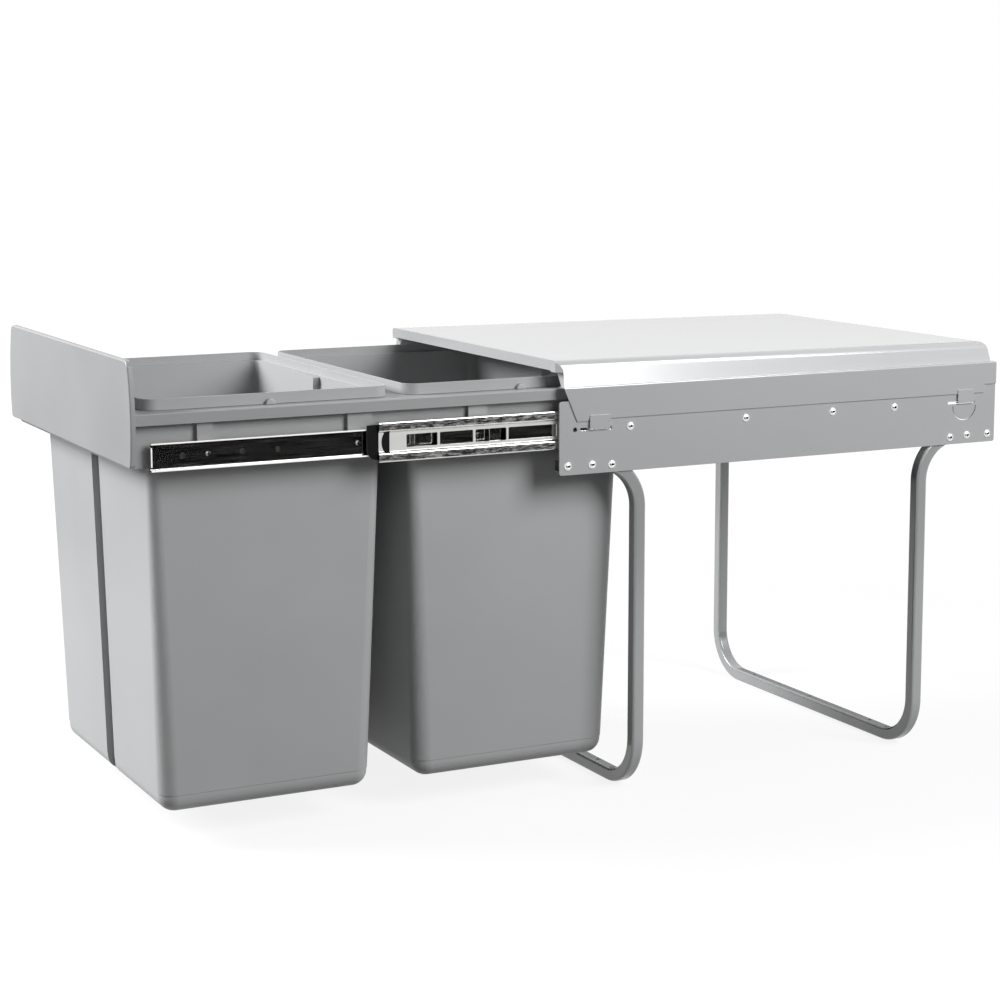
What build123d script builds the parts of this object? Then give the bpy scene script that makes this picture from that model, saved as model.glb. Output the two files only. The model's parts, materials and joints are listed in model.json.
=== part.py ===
"""Pull out bin frame: a fixed steel frame, two telescopic slides and a tray that carries two bins.

Millimetres, +Z up. X runs across the width, and Y runs from the front panel to the back.
The origin is on the cabinet floor, at the centre of the four outer floor screws of the legs.
The drawer is shown pulled right out, towards -Y, as it is in the photograph.
"""

import os

from build123d import *

os.makedirs("parts", exist_ok=True)

# Fixed frame: the side plates and what stands on the cabinet floor
frame_depth = 480.0
frame_width = 365.0
slide_z = 339.6
outer_half_height = 22.5
tube_size = 12.0
leg_slide_gap = 3.6
leg_top_z = slide_z - outer_half_height - leg_slide_gap - tube_size / 2
plate_thickness = 1.5
plate_lower_margin = 2.0
plate_upper_margin = 9.4
plate_front_step = 6.5
plate_bottom = leg_top_z - tube_size / 2 - plate_lower_margin
plate_top = slide_z + outer_half_height + plate_upper_margin
plate_front_top = plate_top - plate_front_step
plate_corner_radius = 5.0
front_y = -frame_depth / 2
rear_y = frame_depth / 2
plate_outer_x = frame_width / 2
plate_inner_x = plate_outer_x - plate_thickness

# Square tube legs
leg_inset = 83.7
leg_spacing = frame_depth - 2 * leg_inset
tube_wall = 1.2
tube_corner_radius = 2.6
leg_foot_bend_radius = 44.0
leg_top_bend_radius = 42.0
tube_end_setback = 2.0
floor_screw_pitch = 104.0
floor_screw_radius = 2.3
leg_rivet_drop = 1.1
leg_rivet_places = ((8.5, leg_top_z), (33.0, leg_top_z), (53.0, leg_top_z - leg_rivet_drop))

# Rivets
rivet_shank_radius = 2.0
rivet_hole_clearance = 0.05
rivet_head_radius = 3.9
rivet_head_height = 1.9
rivet_pin_radius = 1.0
rivet_pin_depth = 1.2
rivet_tail_radius = 2.9
rivet_tail_height = 1.2
slide_tail_height = 0.6

# Hood over the side plates
hood_thickness = 1.1
hood_ledge_rise = 6.1
hood_dome_height = 22.9
hood_rear_fall = 4.0
hood_skirt_overlap = 23.4
hood_crease_z = plate_top + hood_ledge_rise
hood_top = hood_crease_z + hood_dome_height
hood_skirt_bottom = plate_top - hood_skirt_overlap
hood_ledge = 3.5
hood_ledge_radius = 1.4
hood_dome_run = 4.2
hood_edge_radius = 8.0
hood_front_lip = 9.2
hood_strip_lean = 8.6
hood_strip_foot = 10.0
hood_corner_start = 9.6
hood_corner_end = 6.1
hood_corner_setback = 6.3
hood_skirt_setback = 4.2
hood_foot_start = 17.3
hood_foot_end = 28.0
hood_foot_drop = 1.3
hood_rear_step_y = 14.0
hood_rear_step_height = 8.0
hood_plate_gap = 0.2
skirt_outer_x = plate_outer_x + hood_thickness

# Locking tongues of the hood and their slots in the side plates
tongue_rise = 3.6
tongue_drop = 7.9
tongue_top = hood_skirt_bottom + tongue_rise
tongue_bottom = hood_skirt_bottom - tongue_drop
tongue_proud = 1.0
slot_front_start = 20.8
slot_rear_margin = 56.6
slot_rear_start = frame_depth - slot_rear_margin
slot_length = 30.6
tongue_front_margins = (8.8, 1.4)
tongue_rear_margins = (10.6, 0.8)
slot_play = 2.0
slot_bottom = tongue_bottom - slot_play
slot_height = 2.6
slot_end_radius = 1.7
plate_hole_setback = 15.6
plate_hole_radius = 2.1
flap_offset = 19.6
flap_radius = 13.5
flap_slit = 0.9
flap_drop = 2.2
flap_top = slot_bottom - flap_drop

# Travel of the drawer, and the gap that it leaves behind the front panel when it is shut
outer_front_setback = 20.0
outer_rear_margin = 60.0
outer_length = frame_depth - outer_front_setback - outer_rear_margin
travel_margin = 15.0
travel = outer_length - travel_margin
closed_gap = 0.4

# Telescopic slides: heights are measured from the slide's own axis, depths from the side plate
slide_depth = 12.7
slide_sheet = 1.2
outer_lip_half_height = 20.2
outer_lip_depth = 11.3
mid_closed_setback = 22.0
mid_shortening = 10.0
mid_length = outer_length - mid_shortening
mid_half_height = 17.3
mid_sheet = 1.1
mid_band_depth = 2.9
mid_web_depth = 4.9
mid_web_half_height = 8.4
mid_band_half_height = 10.0
mid_flange_end = 11.0
inner_front_offset = 15.6
inner_length = mid_length
inner_half_height = 11.7
inner_flange_depth = 7.4
inner_end_tab_height = 16.0
inner_end_tab_depth = 3.0
slide_rivet_shares = (0.1295, 0.434, 0.674, 0.851)
slide_rivet_setbacks = [outer_front_setback + share * outer_length for share in slide_rivet_shares]

# Windows, pressed panels and stop of the intermediate member, measured from its front end
mid_window_height = 11.0
mid_window_spans = ((26.0, 55.5), (91.5, 121.5), (205.0, 234.0), (281.0, 302.0))
mid_panel_spans = ((57.5, 89.5), (123.5, 171.0), (238.0, 277.0))
mid_panel_depth = 0.5
bumper_window_start = 6.3
bumper_window_end = 10.2
bumper_window_half_height = 9.6
bumper_bow_tip = 2.7
bumper_nose = 10.0
bumper_tail = 13.0
bumper_half_height = 15.0
bumper_nose_radius = 9.5
bumper_thickness = 1.0
bumper_clearance = 0.1

# Balls and cages
inner_ball_radius = 2.1
outer_ball_radius = 1.9
balls_per_row = 5
cage_sheet = 0.6
cage_pocket_clearance = 0.15
inner_cage_setback = 14.0
inner_cage_length = 172.0
inner_cage_web_depth = 6.7
inner_ball_depth = 9.2
inner_cage_edge_depth = 11.2
inner_cage_open_spans = ((8.0, 20.5), (24.5, 91.8), (102.2, 164.0))
inner_cage_open_half_height = 10.5
outer_cage_length = 190.0
outer_ball_depth = 6.6
outer_cage_half_width = 3.2
cage_end_margin = 9.0

# Drawer screws
screw_radius = 1.9
screw_hole_clearance = 0.05
screw_head_radius = 3.4
screw_head_height = 1.7
screw_recess_radius = 1.5
screw_recess_depth = 1.0
screw_length = 6.0
slide_screw_shares = (0.1277, 0.4697, 0.7613)
slide_screw_offsets = [inner_front_offset + share * inner_length for share in slide_screw_shares]
inner_hole_radius = 2.2
inner_hole_shares = (0.0715, 0.2044, 0.2844, 0.6405, 0.8969)
inner_hole_offsets = [inner_front_offset + share * inner_length for share in inner_hole_shares]

# Tray
tray_rear_gap = 2.6
tray_length = frame_depth - tray_rear_gap
tray_side_gap = 9.0
tray_slide_gap = 3.7
tray_sheet = 2.4
tray_lip_height = 9.7
tray_top = slide_z + outer_half_height + tray_slide_gap + tray_lip_height
tray_corner_radius = 9.0
tray_edge_radius = 1.0
tray_half_width = plate_inner_x - tray_side_gap
skirt_sheet = 2.5
skirt_inset = 7.7
tray_skirt_drop = 9.6
tray_skirt_bottom = slide_z - tray_skirt_drop
bin_opening_clearance = 0.8
pad_margins = ((8.8, 5.2), (8.7, 13.7), (9.1, 8.9))
pad_spans = [(s - m[0], s + m[1]) for s, m in zip(slide_screw_offsets, pad_margins)]

# Front panel
panel_depth = 4.5
panel_sheet = 2.2
panel_drop = 6.7
panel_height = 87.0
panel_bottom = slide_z - panel_drop
panel_top = panel_bottom + panel_height
panel_side_overhang = 0.5
panel_top_draw_in = 7.6
panel_bottom_draw_in = 2.8
panel_mid_half_width = plate_outer_x + panel_side_overhang
panel_top_half_width = panel_mid_half_width - panel_top_draw_in
panel_bottom_half_width = panel_mid_half_width - panel_bottom_draw_in
panel_top_radius = 8.0
panel_bottom_radius = 4.0
panel_edge_radius = 1.4
panel_boss_radius = 5.0
panel_screw_spacing_x = 240.0
panel_screw_spacing_z = 22.0
panel_screw_rise = 19.1
panel_screw_z = panel_bottom + panel_screw_rise
panel_screw_length = 5.4
panel_rib_sheet = 1.8

# Bins
bin_front_margin = 18.9
bin_gap = 23.0
bin_rear_margin = 11.5
bin_wall = 1.7
bin_side_margin = 20.5
bin_side_taper = 7.5
bin_end_taper = 10.0
bin_top_half_width = tray_half_width - bin_side_margin
bin_top_half_length = (tray_length - bin_front_margin - bin_gap - bin_rear_margin) / 4
bin_front_offset = bin_front_margin + bin_top_half_length
bin_pitch = 2 * bin_top_half_length + bin_gap
bin_foot_half_width = bin_top_half_width - bin_side_taper
bin_foot_half_length = bin_top_half_length - bin_end_taper
bin_bottom = 30.0
bin_foot_height = 16.0
bin_foot_radius = 14.0
bin_top_corner_radius = 9.0
bin_foot_corner_radius = 15.0
bin_foot_step = 0.4
collar_height = 9.5
collar_step = 4.2
bin_seat_gap = 0.2
groove_width = 21.0
groove_depth = 6.5
nub_radius = 5.2
nub_tip_radius = 4.2
nub_edge_radius = 1.2
nub_depth = 3.5

cut_overrun = 5.0


def at_setback(distance):
    """Y of a point that lies a distance behind the front edge of the side plates."""
    return front_y + distance


def in_drawer(offset):
    """Y of a point of the drawn-out drawer that lies an offset behind the back of the front panel."""
    return front_y - closed_gap - travel + offset


def depth_x(depth):
    """X of a point inside the right slide, from its depth below the side plate's inner face."""
    return plate_inner_x - depth


def save(body, label):
    """Label one finished piece and write it under its node name."""
    body.label = label
    export_step(body, f"parts/{label}.step")


def save_pair(body, label):
    """Write a right-hand piece and its mirror image on the left."""
    save(body, f"{label}_right")
    save(body.mirror(Plane.YZ), f"{label}_left")


# Side plates, cut for the tongues of the hood, the rivets and the cabinet screw
with BuildPart() as side_plate:
    with BuildSketch(Plane.YZ.offset(plate_inner_x)):
        with BuildLine():
            Polyline(
                (front_y, plate_bottom),
                (rear_y, plate_bottom),
                (rear_y, plate_top),
                (at_setback(hood_foot_start), plate_top),
                (at_setback(hood_foot_start), plate_front_top),
                (front_y, plate_front_top),
                close=True,
            )
        make_face()
    extrude(amount=plate_thickness)
    outline_corners = side_plate.edges().filter_by(Axis.X)
    fillet(
        outline_corners.group_by(Axis.Z)[0] + outline_corners.group_by(Axis.Y)[0].sort_by(Axis.Z)[-1:],
        plate_corner_radius / 2,
    )
    for slot_start in (slot_front_start, slot_rear_start):
        slot_centre = (at_setback(slot_start + slot_length / 2), slot_bottom + slot_height / 2)
        with BuildSketch(Plane.YZ.offset(plate_inner_x)):
            with Locations(slot_centre):
                Rectangle(slot_length, slot_height)
            with Locations((at_setback(slot_start + slot_length), slot_centre[1])):
                Circle(slot_end_radius)
        extrude(amount=plate_thickness, mode=Mode.SUBTRACT)
    with BuildSketch(Plane.YZ.offset(plate_inner_x)):
        with BuildLine():
            CenterArc((at_setback(slot_rear_start + flap_offset), flap_top), flap_radius, 180, 180)
        trace(line_width=flap_slit)
    extrude(amount=plate_thickness, mode=Mode.SUBTRACT)
    rivet_places = [(at_setback(s), z) for s, z in leg_rivet_places]
    rivet_places += [(-y, z) for y, z in rivet_places]
    rivet_places += [(at_setback(s), slide_z) for s in slide_rivet_setbacks]
    with BuildSketch(Plane.YZ.offset(plate_inner_x)):
        with Locations(*rivet_places):
            Circle(rivet_shank_radius + rivet_hole_clearance)
        with Locations((at_setback(plate_hole_setback), slide_z)):
            Circle(plate_hole_radius)
    extrude(amount=plate_thickness, mode=Mode.SUBTRACT)
save_pair(side_plate.part, "side_plate")


def hood_form(inset):
    """Solid under the hood's outer surface, drawn in by the sheet, with the skirt's front running past."""
    skirt_half_width = skirt_outer_x - inset
    skirt_rear = rear_y - inset
    skirt_front = front_y - cut_overrun if inset else front_y
    dome_half_width = skirt_half_width - hood_ledge
    dome_rear = skirt_rear - hood_ledge
    dome_front = front_y + inset
    dome_foot = hood_crease_z - inset - cut_overrun
    with BuildPart() as skirt_box:
        with BuildSketch(Plane.XY.offset(hood_crease_z - inset)):
            with Locations((0, (skirt_front + skirt_rear) / 2)):
                Rectangle(2 * skirt_half_width, skirt_rear - skirt_front)
        extrude(amount=-(hood_crease_z - inset - hood_skirt_bottom + cut_overrun))
        ledge_edges = skirt_box.faces().sort_by(Axis.Z)[-1].edges().sort_by(Axis.Y)[1:]
        fillet(ledge_edges, hood_ledge_radius - inset)
    with BuildPart() as form:
        with BuildSketch(Plane.YZ.offset(-dome_half_width)):
            with BuildLine():
                Polyline(
                    (dome_front, dome_foot),
                    (dome_rear, dome_foot),
                    (dome_rear, hood_top - hood_rear_fall - inset),
                    (dome_front, hood_top - inset),
                    close=True,
                )
            make_face()
        extrude(amount=2 * dome_half_width)
        top_face = form.faces().sort_by(Axis.Z)[-1]
        sides = [e for e in top_face.edges() if abs(e.center().X) > dome_half_width / 2]
        chamfer(sides, length=hood_dome_run, length2=hood_dome_height, reference=top_face)
        top_face = form.faces().sort_by(Axis.Z)[-1]
        rear_edge = top_face.edges().sort_by(Axis.Y)[-1:]
        chamfer(rear_edge, length=hood_dome_run, length2=hood_dome_height, reference=top_face)
        top_face = form.faces().sort_by(Axis.Z)[-1]
        ridge = top_face.edges().sort_by(Axis.Y)[1:]
        fillet(ridge, hood_edge_radius - inset)
        corner_start_x = skirt_half_width - hood_corner_start
        corner_end_x = skirt_half_width - hood_corner_end
        corner_y = dome_front + hood_corner_setback
        with BuildSketch(Plane.XY.offset(dome_foot)):
            for side in (-1, 1):
                with BuildLine():
                    Polyline(
                        (side * corner_start_x, front_y - cut_overrun),
                        (side * corner_start_x, dome_front),
                        (side * corner_end_x, corner_y),
                        (side * (skirt_outer_x + cut_overrun), corner_y),
                        (side * (skirt_outer_x + cut_overrun), front_y - cut_overrun),
                        close=True,
                    )
                make_face()
        extrude(amount=2 * hood_dome_height, mode=Mode.SUBTRACT)
        with BuildSketch(Plane.XY.offset(hood_top - hood_front_lip - hood_thickness + inset)):
            with Locations((0, (front_y - cut_overrun + corner_y) / 2)):
                Rectangle(2 * (skirt_outer_x + cut_overrun), corner_y - front_y + cut_overrun)
        extrude(amount=-(hood_dome_height + cut_overrun), mode=Mode.SUBTRACT)
        add(skirt_box.part)
    return form.part


# Hood: a folded sheet with skirts, a ledge, a raised dome with a turned-down front lip, and tongues
with BuildPart() as hood_lid:
    add(hood_form(0))
    add(hood_form(hood_thickness), mode=Mode.SUBTRACT)
    foot_bottom = hood_skirt_bottom - hood_foot_drop
    with BuildSketch(Plane.YZ):
        with BuildLine():
            Polyline(
                (front_y - cut_overrun, hood_crease_z),
                (at_setback(hood_skirt_setback), hood_crease_z),
                (at_setback(hood_foot_start), foot_bottom),
                (at_setback(hood_foot_end), foot_bottom),
                (at_setback(hood_foot_end), hood_skirt_bottom),
                (rear_y - hood_rear_step_y, hood_skirt_bottom),
                (rear_y - hood_rear_step_y, hood_skirt_bottom + hood_rear_step_height),
                (rear_y + cut_overrun, hood_skirt_bottom + hood_rear_step_height),
                (rear_y + cut_overrun, foot_bottom - frame_width),
                (front_y - cut_overrun, foot_bottom - frame_width),
                close=True,
            )
        make_face()
    extrude(amount=frame_width, both=True, mode=Mode.SUBTRACT)
    plate_notch = plate_thickness + hood_plate_gap
    with BuildSketch(Plane.XY.offset(plate_top + hood_plate_gap)):
        for side in (-1, 1):
            with Locations((side * (plate_outer_x - plate_notch / 2), rear_y)):
                Rectangle(plate_notch, 2 * plate_notch)
    extrude(amount=-frame_width, mode=Mode.SUBTRACT)
    strip_foot_x = skirt_outer_x - hood_strip_foot
    lip_bottom = hood_top - hood_front_lip
    with BuildSketch(Plane.XZ.offset(-(front_y - cut_overrun))):
        with BuildLine():
            Polyline(
                (-strip_foot_x, hood_skirt_bottom),
                (-strip_foot_x, hood_crease_z),
                (-strip_foot_x + hood_strip_lean, lip_bottom),
                (strip_foot_x - hood_strip_lean, lip_bottom),
                (strip_foot_x, hood_crease_z),
                (strip_foot_x, hood_skirt_bottom),
                close=True,
            )
        make_face()
    extrude(amount=-(2 * cut_overrun + hood_corner_setback), mode=Mode.SUBTRACT)
    for slot_start, margins in (
        (slot_front_start, tongue_front_margins),
        (slot_rear_start, tongue_rear_margins),
    ):
        with BuildSketch(Plane.XZ.offset(-at_setback(slot_start + margins[0]))):
            with BuildLine():
                Polyline(
                    (plate_inner_x + rivet_hole_clearance, tongue_bottom - hood_thickness),
                    (skirt_outer_x + tongue_proud, tongue_bottom - hood_thickness),
                    (skirt_outer_x + tongue_proud, tongue_top),
                    (skirt_outer_x, tongue_top),
                    (skirt_outer_x, hood_skirt_bottom),
                    (plate_outer_x + tongue_proud, hood_skirt_bottom - tongue_proud),
                    (plate_outer_x + tongue_proud, tongue_bottom),
                    (plate_inner_x + rivet_hole_clearance, tongue_bottom),
                    close=True,
                )
            make_face()
        tongue = extrude(amount=-(slot_length - sum(margins)))
        mirror(tongue, about=Plane.YZ)
save(hood_lid.part, "hood_lid")

# Legs: square tube bent to a U, with both tops bent forward along the side plates
leg_y = leg_spacing / 2
tube_centre_x = plate_inner_x - tube_size / 2
tube_end_y = front_y + tube_end_setback
with BuildPart() as front_leg:
    with BuildLine():
        FilletPolyline(
            (-tube_centre_x, tube_end_y, leg_top_z),
            (-tube_centre_x, -leg_y, leg_top_z),
            (-tube_centre_x, -leg_y, tube_size / 2),
            (tube_centre_x, -leg_y, tube_size / 2),
            (tube_centre_x, -leg_y, leg_top_z),
            (tube_centre_x, tube_end_y, leg_top_z),
            radius=[leg_top_bend_radius, leg_foot_bend_radius, leg_foot_bend_radius, leg_top_bend_radius],
        )
    with BuildSketch(Plane.XZ.offset(-tube_end_y)):
        with Locations((-tube_centre_x, leg_top_z)):
            RectangleRounded(tube_size, tube_size, tube_corner_radius)
            bore = tube_size - 2 * tube_wall
            RectangleRounded(bore, bore, tube_corner_radius - tube_wall, mode=Mode.SUBTRACT)
    sweep()
    with BuildSketch(Plane.XY.offset(-cut_overrun)):
        with GridLocations(floor_screw_pitch, leg_spacing, 3, 1):
            with Locations((0, -leg_y)):
                Circle(floor_screw_radius)
    extrude(amount=tube_size + 2 * cut_overrun, mode=Mode.SUBTRACT)
    with BuildSketch(Plane.YZ.offset(plate_inner_x)):
        with Locations(*[(at_setback(s), z) for s, z in leg_rivet_places]):
            Circle(rivet_shank_radius + rivet_hole_clearance)
    extrude(amount=-(tube_wall + rivet_tail_height), mode=Mode.SUBTRACT)
    with BuildSketch(Plane.YZ.offset(-plate_inner_x)):
        with Locations(*[(at_setback(s), z) for s, z in leg_rivet_places]):
            Circle(rivet_shank_radius + rivet_hole_clearance)
    extrude(amount=tube_wall + rivet_tail_height, mode=Mode.SUBTRACT)
save(front_leg.part, "front_leg")
save(front_leg.part.mirror(Plane.XZ), "rear_leg")


def blind_rivet(grip, tail_height):
    """Blind rivet along X, with its domed head above the plane x = 0 and its tail below the grip."""
    with BuildPart() as rivet:
        with BuildSketch(Plane.XY):
            with BuildLine():
                crown = ThreePointArc(
                    (0, rivet_head_radius),
                    (rivet_head_height * 3 / 4, rivet_head_radius * 2 / 3),
                    (rivet_head_height, rivet_pin_radius),
                )
                Polyline(
                    crown @ 1,
                    (rivet_head_height - rivet_pin_depth, rivet_pin_radius),
                    (rivet_head_height - rivet_pin_depth, 0),
                    (-grip - tail_height, 0),
                    (-grip - tail_height, rivet_tail_radius),
                    (-grip, rivet_tail_radius),
                    (-grip, rivet_shank_radius),
                    (0, rivet_shank_radius),
                    crown @ 0,
                )
            make_face()
        revolve(axis=Axis.X)
    return rivet.part


leg_rivet = blind_rivet(plate_thickness + tube_wall, rivet_tail_height)
with BuildPart() as leg_rivets:
    for y_sign in (1, -1):
        for setback, rivet_z in leg_rivet_places:
            with Locations((plate_outer_x, y_sign * at_setback(setback), rivet_z)):
                add(leg_rivet)
    mirror(about=Plane.YZ)
save(leg_rivets.part, "leg_rivets")

slide_rivet = blind_rivet(plate_thickness + slide_sheet, slide_tail_height)
with BuildPart() as slide_rivets:
    for setback in slide_rivet_setbacks:
        with Locations((plate_outer_x, at_setback(setback), slide_z)):
            add(slide_rivet)
    mirror(about=Plane.YZ)
save(slide_rivets.part, "slide_rivets")


def slide_section(points, sheet, bend_radius):
    """Sheet section of a right-hand slide member, from centreline points (depth, height)."""
    with BuildLine() as centreline:
        FilletPolyline(*[(depth_x(d), slide_z + h) for d, h in points], radius=bend_radius)
    trace(centreline.line, line_width=sheet)


def both_ends(half_points):
    """Repeat the upper half of a section below the slide's axis, from the lower end to the upper."""
    return [(d, -h) for d, h in reversed(half_points)] + list(half_points)


# Cabinet member of the slide, riveted inside the side plate
outer_centre_depth = slide_sheet / 2
outer_flange_z = outer_half_height - slide_sheet / 2
outer_lip_run = outer_flange_z - outer_lip_half_height
with BuildPart() as slide_outer:
    with BuildSketch(Plane.XZ.offset(-at_setback(outer_front_setback))):
        slide_section(
            both_ends([
                (outer_centre_depth, outer_flange_z),
                (outer_lip_depth - outer_lip_run, outer_flange_z),
                (outer_lip_depth, outer_lip_half_height),
            ]),
            slide_sheet,
            slide_sheet,
        )
    extrude(amount=-outer_length)
    with BuildSketch(Plane.YZ.offset(plate_inner_x)):
        with Locations(*[(at_setback(s), slide_z) for s in slide_rivet_setbacks]):
            Circle(rivet_shank_radius + rivet_hole_clearance)
    extrude(amount=-slide_sheet, mode=Mode.SUBTRACT)
save_pair(slide_outer.part, "slide_outer")

# Intermediate member: ribbed bands above and below a sunken web with windows
mid_band_centre = mid_band_depth + mid_sheet / 2
mid_web_centre = mid_web_depth + mid_sheet / 2
mid_flange_z = mid_half_height - mid_sheet / 2
mid_front_y = at_setback(mid_closed_setback - travel / 2)


def stop_window(margin):
    """Window of the front stop, bowed towards the drawer and drawn in by a margin."""
    half_height = bumper_window_half_height - margin
    start_y = mid_front_y + bumper_window_start + margin
    end_y = mid_front_y + bumper_window_end - margin
    with BuildLine() as outline:
        bow = ThreePointArc(
            (start_y, slide_z - half_height),
            (mid_front_y + bumper_bow_tip + margin, slide_z),
            (start_y, slide_z + half_height),
        )
        Polyline(bow @ 1, (end_y, slide_z + half_height), (end_y, slide_z - half_height), bow @ 0)
    make_face(outline.edges())


with BuildPart() as slide_mid:
    with BuildSketch(Plane.XZ.offset(-mid_front_y)):
        slide_section(
            both_ends([
                (mid_web_centre, mid_web_half_height),
                (mid_band_centre, mid_band_half_height),
                (mid_band_centre, mid_flange_z),
                (mid_flange_end, mid_flange_z),
            ]),
            mid_sheet,
            mid_sheet * 4 / 5,
        )
    extrude(amount=-mid_length)
    with BuildSketch(Plane.YZ.offset(depth_x(mid_web_depth))):
        for span in mid_window_spans:
            with Locations((mid_front_y + sum(span) / 2, slide_z)):
                RectangleRounded(span[1] - span[0], mid_window_height, mid_sheet)
    extrude(amount=-mid_sheet, mode=Mode.SUBTRACT)
    with BuildSketch(Plane.YZ.offset(depth_x(mid_band_depth))):
        stop_window(0)
    extrude(amount=-(mid_web_depth + mid_sheet - mid_band_depth), mode=Mode.SUBTRACT)
    with BuildSketch(Plane.YZ.offset(depth_x(mid_web_depth))):
        for span in mid_panel_spans:
            with Locations((mid_front_y + sum(span) / 2, slide_z)):
                RectangleRounded(span[1] - span[0], mid_window_height, mid_sheet)
    extrude(amount=-mid_panel_depth, mode=Mode.SUBTRACT)
save_pair(slide_mid.part, "slide_mid")

# Black stop at the front of the intermediate member, snapped into its bow-shaped window
bumper_face_depth = mid_web_depth + mid_sheet + bumper_clearance
with BuildPart() as mid_bumper:
    with BuildSketch(Plane.YZ.offset(depth_x(bumper_face_depth))):
        with Locations((mid_front_y + (bumper_tail - bumper_nose) / 2, slide_z)):
            Rectangle(bumper_nose + bumper_tail, 2 * bumper_half_height)
        nose_corners = vertices().group_by(Axis.Y)[0]
        fillet(nose_corners, bumper_nose_radius)
    extrude(amount=-bumper_thickness)
    with BuildSketch(Plane.YZ.offset(depth_x(mid_web_depth))):
        stop_window(bumper_clearance)
    extrude(amount=-(mid_sheet + bumper_clearance))
save_pair(mid_bumper.part, "mid_bumper")

# Drawer member, open towards the cabinet, with a turned-out tab at its front end
inner_centre_depth = slide_depth - slide_sheet / 2
inner_flange_z = inner_half_height - slide_sheet / 2
inner_front_y = in_drawer(inner_front_offset)
with BuildPart() as slide_inner:
    with BuildSketch(Plane.XZ.offset(-inner_front_y)):
        slide_section(
            both_ends([(inner_centre_depth, inner_flange_z), (inner_flange_depth, inner_flange_z)]),
            slide_sheet,
            slide_sheet,
        )
    extrude(amount=-inner_length)
    with BuildSketch(Plane.XZ.offset(-inner_front_y)):
        with Locations((depth_x(slide_depth - slide_sheet - inner_end_tab_depth / 2), slide_z)):
            Rectangle(inner_end_tab_depth, inner_end_tab_height)
    extrude(amount=-slide_sheet)
    with BuildSketch(Plane.YZ.offset(depth_x(slide_depth))):
        with Locations(*[(in_drawer(s), slide_z) for s in inner_hole_offsets]):
            Circle(inner_hole_radius)
        with Locations(*[(in_drawer(s), slide_z) for s in slide_screw_offsets]):
            Circle(screw_radius + screw_hole_clearance)
    extrude(amount=slide_sheet, mode=Mode.SUBTRACT)
save_pair(slide_inner.part, "slide_inner")


def row_places(start, length):
    """Evenly spaced places of one row of balls along a cage."""
    step = (length - 2 * cage_end_margin) / (balls_per_row - 1)
    return [start + cage_end_margin + step * n for n in range(balls_per_row)]


# Inner cage and its balls, between the drawer member and the intermediate member
inner_ball_z = (inner_half_height + mid_half_height - mid_sheet) / 2
inner_cage_y = mid_front_y + inner_cage_setback
inner_rows = row_places(inner_cage_y, inner_cage_length)
with BuildPart() as inner_cage:
    with BuildSketch(Plane.XZ.offset(-inner_cage_y)):
        slide_section(
            both_ends([(inner_cage_web_depth, inner_ball_z), (inner_cage_edge_depth, inner_ball_z)]),
            cage_sheet,
            cage_sheet,
        )
    extrude(amount=-inner_cage_length)
    with BuildSketch(Plane.YZ.offset(depth_x(0))):
        for span in inner_cage_open_spans:
            with Locations((inner_cage_y + sum(span) / 2, slide_z)):
                Rectangle(span[1] - span[0], 2 * inner_cage_open_half_height)
    extrude(amount=-slide_depth, mode=Mode.SUBTRACT)
    with BuildSketch(Plane.XY.offset(slide_z)):
        with Locations(*[(depth_x(inner_ball_depth), y) for y in inner_rows]):
            Circle(inner_ball_radius + cage_pocket_clearance)
    extrude(amount=outer_half_height, both=True, mode=Mode.SUBTRACT)
save_pair(inner_cage.part, "inner_cage")

with BuildPart() as inner_balls:
    for ball_z in (slide_z - inner_ball_z, slide_z + inner_ball_z):
        with Locations(*[(depth_x(inner_ball_depth), y, ball_z) for y in inner_rows]):
            Sphere(inner_ball_radius)
save_pair(inner_balls.part, "inner_balls")

# Outer cage, a strip above and a strip below, and its balls
outer_ball_z = (outer_half_height - slide_sheet + mid_half_height) / 2
outer_overlap_start = at_setback(outer_front_setback)
outer_overlap_end = mid_front_y + mid_length
outer_cage_y = (outer_overlap_start + outer_overlap_end - outer_cage_length) / 2
outer_rows = row_places(outer_cage_y, outer_cage_length)
with BuildPart() as outer_cage:
    for strip_z in (slide_z - outer_ball_z, slide_z + outer_ball_z):
        with BuildSketch(Plane.XY.offset(strip_z - cage_sheet / 2)):
            with Locations((depth_x(outer_ball_depth), outer_cage_y + outer_cage_length / 2)):
                Rectangle(2 * outer_cage_half_width, outer_cage_length)
            with Locations(*[(depth_x(outer_ball_depth), y) for y in outer_rows]):
                Circle(outer_ball_radius + cage_pocket_clearance, mode=Mode.SUBTRACT)
        extrude(amount=cage_sheet)
save_pair(outer_cage.part, "outer_cage")

with BuildPart() as outer_balls:
    for ball_z in (slide_z - outer_ball_z, slide_z + outer_ball_z):
        with Locations(*[(depth_x(outer_ball_depth), y, ball_z) for y in outer_rows]):
            Sphere(outer_ball_radius)
save_pair(outer_balls.part, "outer_balls")

# Tray: a moulded top with two openings, an outer lip, a skirt with screw pads and a middle wall
tray_front_y = in_drawer(0)
tray_rear_y = in_drawer(tray_length)
tray_centre_y = (tray_front_y + tray_rear_y) / 2
skirt_outer = tray_half_width - skirt_inset
pad_outer = depth_x(slide_depth)
bin_centres = (in_drawer(bin_front_offset), in_drawer(bin_front_offset + bin_pitch))
front_screw_places = [
    (x, panel_screw_z + z)
    for x in (-panel_screw_spacing_x / 2, panel_screw_spacing_x / 2)
    for z in (-panel_screw_spacing_z / 2, panel_screw_spacing_z / 2)
]


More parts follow.
